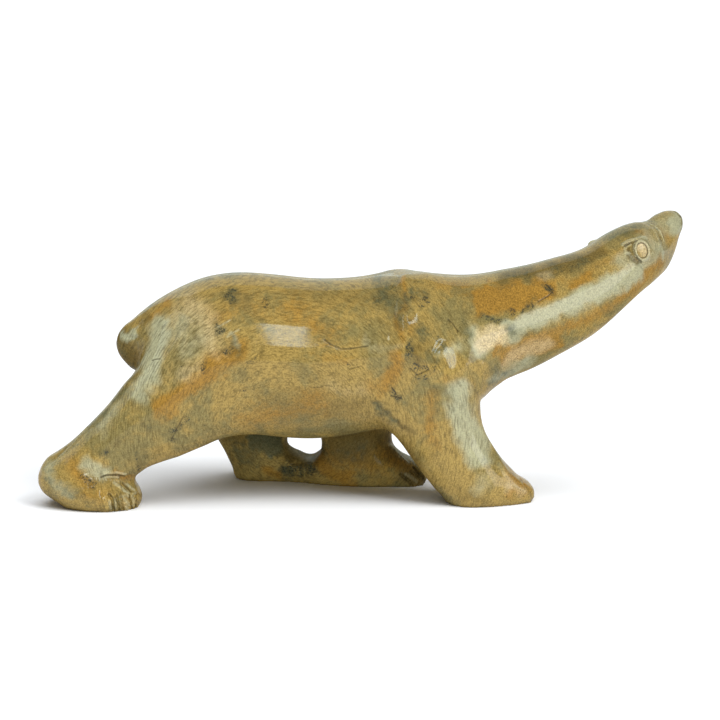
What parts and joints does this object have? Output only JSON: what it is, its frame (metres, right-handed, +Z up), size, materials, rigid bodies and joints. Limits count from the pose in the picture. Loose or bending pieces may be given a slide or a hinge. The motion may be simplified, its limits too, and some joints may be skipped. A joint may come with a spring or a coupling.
{
  "type": "polar bear sculpture",
  "caption": "Cast bronze polar bear in a long stride, neck stretched up and head turned to its left, standing on flat soles under a waxed brown-green patina.",
  "frame": {"origin": "middle of the bear's length and width, on the floor plane of its soles", "axes": "+X the way the bear walks, +Y its left side, +Z up"},
  "size_m": [0.5043, 0.1459, 0.2146],
  "materials": {
    "bronze": "cast bronze under a mottled brown, ochre and grey-green patina, waxed"
  },
  "bodies": {
    "root": {"polar_bear": "bronze"}
  },
  "joints": []
}
